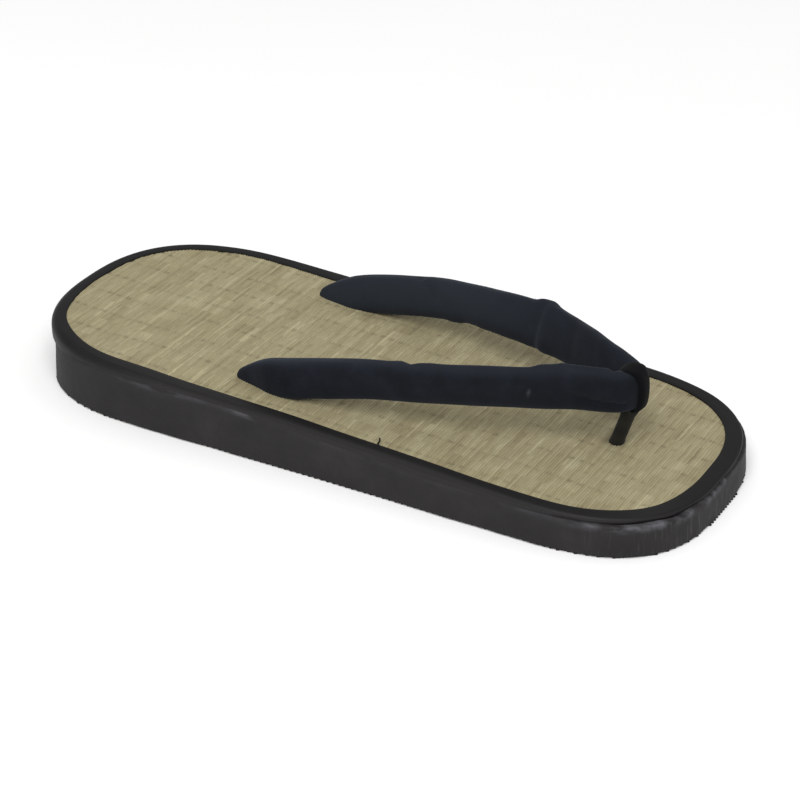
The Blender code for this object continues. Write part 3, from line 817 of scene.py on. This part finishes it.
turn = np.linspace(0, 2 * math.pi, SECTION_POINTS, endpoint=False)
lift = np.sign(np.cos(turn)) * np.abs(np.cos(turn)) ** (2 / SECTION_POWER)
out = np.sign(np.sin(turn)) * np.abs(np.sin(turn)) ** (2 / SECTION_POWER)
sections, shares = {}, {}
for name, tip_x in TIP_X.items():
    samples = arm_samples(tip_x)
    centre, upper, side = arm_frames(samples)
    tall = samples[:, 3] / 2
    thick = samples[:, 4] / 2
    ring = (centre[:, None, :] + upper[:, None, :] * (tall[:, None] * lift)[:, :, None]
            + side[:, None, :] * (thick[:, None] * out)[:, :, None])
    sections[name] = ring * np.array([1, -1, 1]) if name == "right" else ring
    shares[name] = samples[:, 6]
print("Sections on an arm:", len(sections["left"]))

# %% [markdown]
# The folds. Velvet over stuffing creases where the strap is bent or was squeezed in its box, and
# each crease is a soft trough with a low ridge beside it. Every row of the table is one of them,
# a line on the strap between two places, given by the share of the way from tip to nose and the
# degrees round the section (0 is the upper edge, 90 the outer face, 180 the lower edge).

# %% Folds in the velvet
FOLDS = [
    # arm, share and degrees at its start, share and degrees at its end, width mm, height mm
    ("left", 0.295, -12, 0.345, -84, 1.1, -0.75),
    ("left", 0.318, -16, 0.366, -84, 2.2, 0.45),
    ("left", 0.388, -160, 0.408, -156, 2.2, 0.50),
    ("left", 0.440, -158, 0.465, -156, 2.4, -0.45),
    ("left", 0.652, -6, 0.676, 10, 2.7, 1.15),
    ("left", 0.668, -28, 0.674, -160, 1.9, -0.75),
    ("left", 0.700, -34, 0.702, -145, 3.4, 0.35),
    ("left", 0.636, -36, 0.648, -130, 2.6, -0.30),
    ("left", 0.780, -20, 0.800, -100, 2.6, -0.35),
    ("left", 0.880, -15, 0.900, -90, 2.0, 0.35),
    ("right", 0.480, -38, 0.500, 18, 1.3, -0.75),
    ("right", 0.455, -36, 0.468, 20, 2.2, 0.30),
    ("right", 0.530, -30, 0.550, 15, 2.4, 0.20),
    ("right", 0.795, -20, 0.835, -12, 2.4, 0.85),
    ("right", 0.770, 86, 0.786, 50, 0.6, -0.25),
    ("right", 0.845, -14, 0.955, -8, 1.3, 0.75),
    ("right", 0.850, 26, 0.975, 22, 1.3, -0.55),
    ("right", 0.956, -32, 0.964, 14, 1.1, -0.90),
    ("right", 0.871, 92, 0.985, 110, 1.2, -0.85),
    ("right", 0.880, 72, 0.985, 88, 2.2, 0.35),
    ("right", 0.200, 30, 0.420, 34, 1.6, 0.25),
    ("right", 0.120, 60, 0.210, 130, 3.2, -0.35),
]
FOLD_STEPS = 24


def face_out(ring):
    """Outward unit vectors over a grid of sections."""
    across = np.roll(ring, -1, 1) - np.roll(ring, 1, 1)
    normal = np.cross(np.gradient(ring, axis=0), across)
    normal /= np.maximum(np.linalg.norm(normal, axis=2), 1e-12)[:, :, None]
    outwards = ((ring - ring.mean(1, keepdims=True)) * normal).sum(2)
    return normal * np.sign(outwards)[:, :, None]


for name, ring in sections.items():
    normal = face_out(ring)
    push = 0.13 * MM * waves(ring[:, :, 0], ring[:, :, 2] + ring[:, :, 1], 17 * MM, 41)
    for arm, share0, turn0, share1, turn1, width, height in FOLDS:
        if arm != name:
            continue
        steps = np.linspace(0, 1, FOLD_STEPS)
        rows = np.interp(share0 + (share1 - share0) * steps, shares[name], np.arange(len(ring)))
        columns = np.round((turn0 + (turn1 - turn0) * steps) / 360 * SECTION_POINTS).astype(int)
        line = ring[np.round(rows).astype(int), columns % SECTION_POINTS]
        away = np.linalg.norm(ring[:, :, None, :] - line, axis=3).min(2)
        push = push + height * MM * bell(away, width * MM)
    push = push * np.clip(shares[name] / 0.08, 0, 1)[:, None]
    sections[name] = ring + normal * push[:, :, None]
print("Folds:", len(FOLDS))

# %% [markdown]
# Cotton velvet drinks light: nearly black navy face on, and grey where the pile is seen on edge,
# which sheen does. A pile has no smooth surface, so it is as rough as can be, 0.95, with hardly
# any shine of its own. It is far finer than a pixel, so a half-millimetre noise stands for it,
# and a slower one shows where the pile was stroked one way or the other.

# %% Cotton velvet
velvet, velvet_shader = new_material("cotton_velvet")
place = add(velvet, "TexCoord", {}, {})
stroked = add(velvet, "TexNoise", {}, {"Vector": place.outputs["Object"], "Scale": per_mm(9),
                                       "Detail": 4.0, "Roughness": 0.6})
tint = add(velvet, "ValToRGB", {"stops": [(0.3, linear("#0B0D12")), (0.55, linear("#10131A")),
                                          (0.8, linear("#181B23"))]},
           {"Fac": stroked.outputs["Fac"]})
# Painted light: the velvet is mixed towards a lighter grey-blue on the upper edge and on the left
# arm's inner face.
brushed = add(velvet, "Attribute", {"attribute_name": "brushed"}, {})
velvet_with_painted_light = add(velvet, "Mix", MIX, {"Factor": brushed.outputs["Fac"], MIX_A: tint.outputs[0],
                               MIX_B: linear("#2A2F36")})
lint = add(velvet, "Attribute", {"attribute_name": "lint"}, {})
linty = add(velvet, "Mix", MIX, {"Factor": lint.outputs["Fac"], MIX_A: velvet_with_painted_light.outputs[MIX_OUT],
                                 MIX_B: linear("#8A8D93")})
pile = add(velvet, "TexNoise", {}, {"Vector": place.outputs["Object"], "Scale": per_mm(0.5),
                                    "Detail": 2.0})
relief = add(velvet, "Bump", {}, {"Height": pile.outputs["Fac"], "Strength": 0.4,
                                  "Distance": 0.15 * MM})
feed(velvet, velvet_shader, {"Base Color": linty.outputs[MIX_OUT], "Roughness": 0.95,
                             "Specular IOR Level": 0.15, "Sheen Weight": 0.22,
                             "Sheen Roughness": 0.45, "Sheen Tint": linear("#9AA2B4"),
                             "Normal": relief.outputs[0]})

# %% [markdown]
# The two arms are joined at the nose into one closed tube, since the real strap is one tube that
# is bent there. Two numbers on its points tell the velvet where it is painted lighter, as painted
# light on the upper edge and on the inner face of the left arm, which turn up to the lamp, and
# where a speck of lint sticks.

# %% Strap mesh
LIT_TOP_WIDE = 34           # degrees round the section
INNER_FACE = 285
INNER_WIDE = 60
rings = np.concatenate([sections["left"], sections["right"][-2::-1]])
points = rings.reshape(-1, 3)
faces = grid_faces(len(rings), SECTION_POINTS, close_columns=True)
faces.append(list(range(SECTION_POINTS)))
faces.append(list(range(len(points) - SECTION_POINTS, len(points))))
strap = build("velvet_strap", points, faces, velvet, "strap", sharp=70)
nick = sections["right"][np.searchsorted(shares["right"], 0.768), round(84 / 360 * SECTION_POINTS)]
paint(strap, "lint", 0.13 * bell(np.linalg.norm((rings - nick) * (1, 1, 0.3), axis=2), 0.45 * MM))
degrees = np.degrees(turn)[None, :]
# Painted light on the upper edge of both arms and on the left arm's inner face.
top_face = bell((degrees + 180) % 360 - 180, LIT_TOP_WIDE)
inner_face = bell(degrees - INNER_FACE, INNER_WIDE)
left_fade = 1 - 0.75 * np.clip((shares["left"][:, None] - 0.45) / 0.35, 0, 1)
right_fade = 1 - 0.45 * np.clip((shares["right"][:, None] - 0.10) / 0.30, 0, 1)
left_painted_light = (0.35 * top_face + 0.70 * inner_face) * left_fade
right_painted_light = 0.60 * top_face * right_fade
paint(strap, "brushed", np.clip(np.concatenate([left_painted_light, right_painted_light[-2::-1]]), 0, 1))

# %% [markdown]
# A folded band of the same velvet loops round the strap's nose and goes down between the toes.
# It is full in front, spread flat over the top and squeezed thin in the fork of the V, so it is
# swept round the nose as a ring whose width and thickness change on the way. Its cloth is the
# strap's, folded double, and it gets a darker copy of the velvet with less sheen: painted shade.

# %% Toe loop
LOOP_ROWS = [
    # degrees round the nose from the front over the top, width mm, wall mm
    (0, 7.0, 2.1),
    (35, 8.0, 1.6),
    (75, 9.0, 0.9),
    (120, 8.4, 0.9),
    (180, 3.8, 1.1),
    (240, 4.6, 1.1),
    (285, 5.8, 1.3),
    (325, 6.6, 2.0),
    (360, 7.0, 2.1),
]
LOOP_STEPS = 96
LOOP_POINTS = 24
LOOP_GAP = 0.12 * MM
low, high = (np.array(corner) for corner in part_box("toe_loop"))
nose = sections["left"][-1]
nose_mid_z = (nose[:, 2].max() + nose[:, 2].min()) / 2
nose_tall = (nose[:, 2].max() - nose[:, 2].min()) / 2 + LOOP_GAP
nose_front = nose[:, 0].max() - NOSE_X + LOOP_GAP
nose_rear = NOSE_X - low[0] - 1.1 * MM
# Painted shade: a darker copy of the strap's velvet, with less sheen, for the loop.
shaded_velvet, shaded_velvet_shader = new_material("velvet_painted_shade")
folded = add(shaded_velvet, "TexNoise", {}, {"Scale": per_mm(5), "Detail": 4.0})
shaded_velvet_tint = add(shaded_velvet, "Mix", MIX, {"Factor": folded.outputs["Fac"],
                                          MIX_A: linear("#050507"), MIX_B: linear("#0A0B0E")})
feed(shaded_velvet, shaded_velvet_shader, {"Base Color": shaded_velvet_tint.outputs[MIX_OUT], "Roughness": 0.95,
                                "Specular IOR Level": 0.08, "Sheen Weight": 0.04,
                                "Sheen Roughness": 0.45})
table = np.array(LOOP_ROWS, float)
rings = []
for step in range(LOOP_STEPS):
    degrees = 360 * step / LOOP_STEPS
    width, wall = (np.interp(degrees, table[:, 0], table[:, column]) * MM for column in (1, 2))
    ahead, up = math.cos(math.radians(degrees)), math.sin(math.radians(degrees))
    reach = (nose_front if ahead > 0 else nose_rear) + wall / 2
    tall = nose_tall + wall / 2
    x = NOSE_X + math.copysign(abs(ahead) ** (2 / SECTION_POWER), ahead) * reach
    z = nose_mid_z + math.copysign(abs(up) ** (2 / SECTION_POWER), up) * tall
    outward = Vector((math.copysign(abs(ahead) ** 1.3, ahead) / reach, 0.0,
                      math.copysign(abs(up) ** 1.3, up) / tall)).normalized()
    ring = []
    for part in range(LOOP_POINTS):
        about = 2 * math.pi * part / LOOP_POINTS
        across = width / 2 * math.copysign(abs(math.cos(about)) ** 0.8, math.cos(about))
        through = wall / 2 * math.sin(about)
        droop = 0.5 * wall * (2 * across / width) ** 2 * max(ahead, 0.0)
        ring.append((x + outward.x * (through - droop), across,
                     z + outward.z * (through - droop)))
    rings.append(ring)
rings = np.array(rings)
crease = bell(rings[:, :, 1] + 0.6 * MM, 0.9 * MM) * np.clip(rings[:, :, 0] - NOSE_X, 0, 1 * MM)
rings[:, :, 0] -= 0.35 * crease
points = rings.reshape(-1, 3)
faces = grid_faces(LOOP_STEPS, LOOP_POINTS, close_rows=True, close_columns=True)
loop = build("toe_loop_velvet", points, faces, shaded_velvet, "toe_loop", sharp=70)

# %% [markdown]
# The post between the toes is a round cord in a black-olive cotton tube. It leans forward from
# its hole in the mat up into the loop, and spreads a little at both ends. Twisted cotton yarn
# gives fine slanting ridges and a rough, 0.8, nearly shineless face.

# %% Cord and toe post
cord, cord_shader = new_material("cotton_cord")
place = add(cord, "TexCoord", {}, {})
twist = add(cord, "TexWave", {"bands_direction": "Z"},
            {"Vector": place.outputs["Object"], "Scale": per_mm(1.1) / 20, "Distortion": 3.0,
             "Detail": 2.0})
tint = add(cord, "Mix", MIX, {"Factor": twist.outputs["Fac"], MIX_A: linear("#0D0D09"),
                              MIX_B: linear("#171710")})
relief = add(cord, "Bump", {}, {"Height": twist.outputs["Fac"], "Strength": 0.4,
                                "Distance": 0.2 * MM})
feed(cord, cord_shader, {"Base Color": tint.outputs[MIX_OUT], "Roughness": 0.8,
                         "Specular IOR Level": 0.25, "Sheen Weight": 0.05,
                         "Normal": relief.outputs[0]})
POST_POINTS = 32
POST_RADIUS = 2.65 * MM
FOOT_SPREAD = 0.20 * MM
TOP_SPREAD = 0.55 * MM
INTO_LOOP = 1.4 * MM
low, high = (np.array(corner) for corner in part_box("toe_post"))
mat_z = mat_height(POST_X)
lean = (NOSE_X - 1.0 * MM - POST_X) / (high[2] - mat_z)
rings = []
for z in np.linspace(low[2], high[2] + INTO_LOOP, 48):
    radius = POST_RADIUS + FOOT_SPREAD / (1 + math.exp((z - mat_z - 1.0 * MM) / (0.3 * MM)))
    radius += TOP_SPREAD * math.exp(-((z - high[2]) / (1.6 * MM)) ** 2)
    x = POST_X + 0.4 * MM + (z - mat_z) * lean
    about = np.linspace(0, 2 * math.pi, POST_POINTS, endpoint=False)
    rings.append(np.column_stack([x + radius * np.cos(about), radius * np.sin(about),
                                  np.full(POST_POINTS, z)]))
points = np.vstack(rings)
faces = grid_faces(len(rings), POST_POINTS, close_columns=True)
faces.append(list(range(POST_POINTS)))
faces.append(list(range(len(points) - POST_POINTS, len(points))))
build("toe_post_cord", points, faces, cord, "toe_post", sharp=60)

# %% [markdown]
# Last, the box of the dressed sandal is printed.

# %% Sizes and finish
low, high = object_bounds()
print("Dressed box in mm:", [round(x / MM, 1) for x in (*low, *high)])
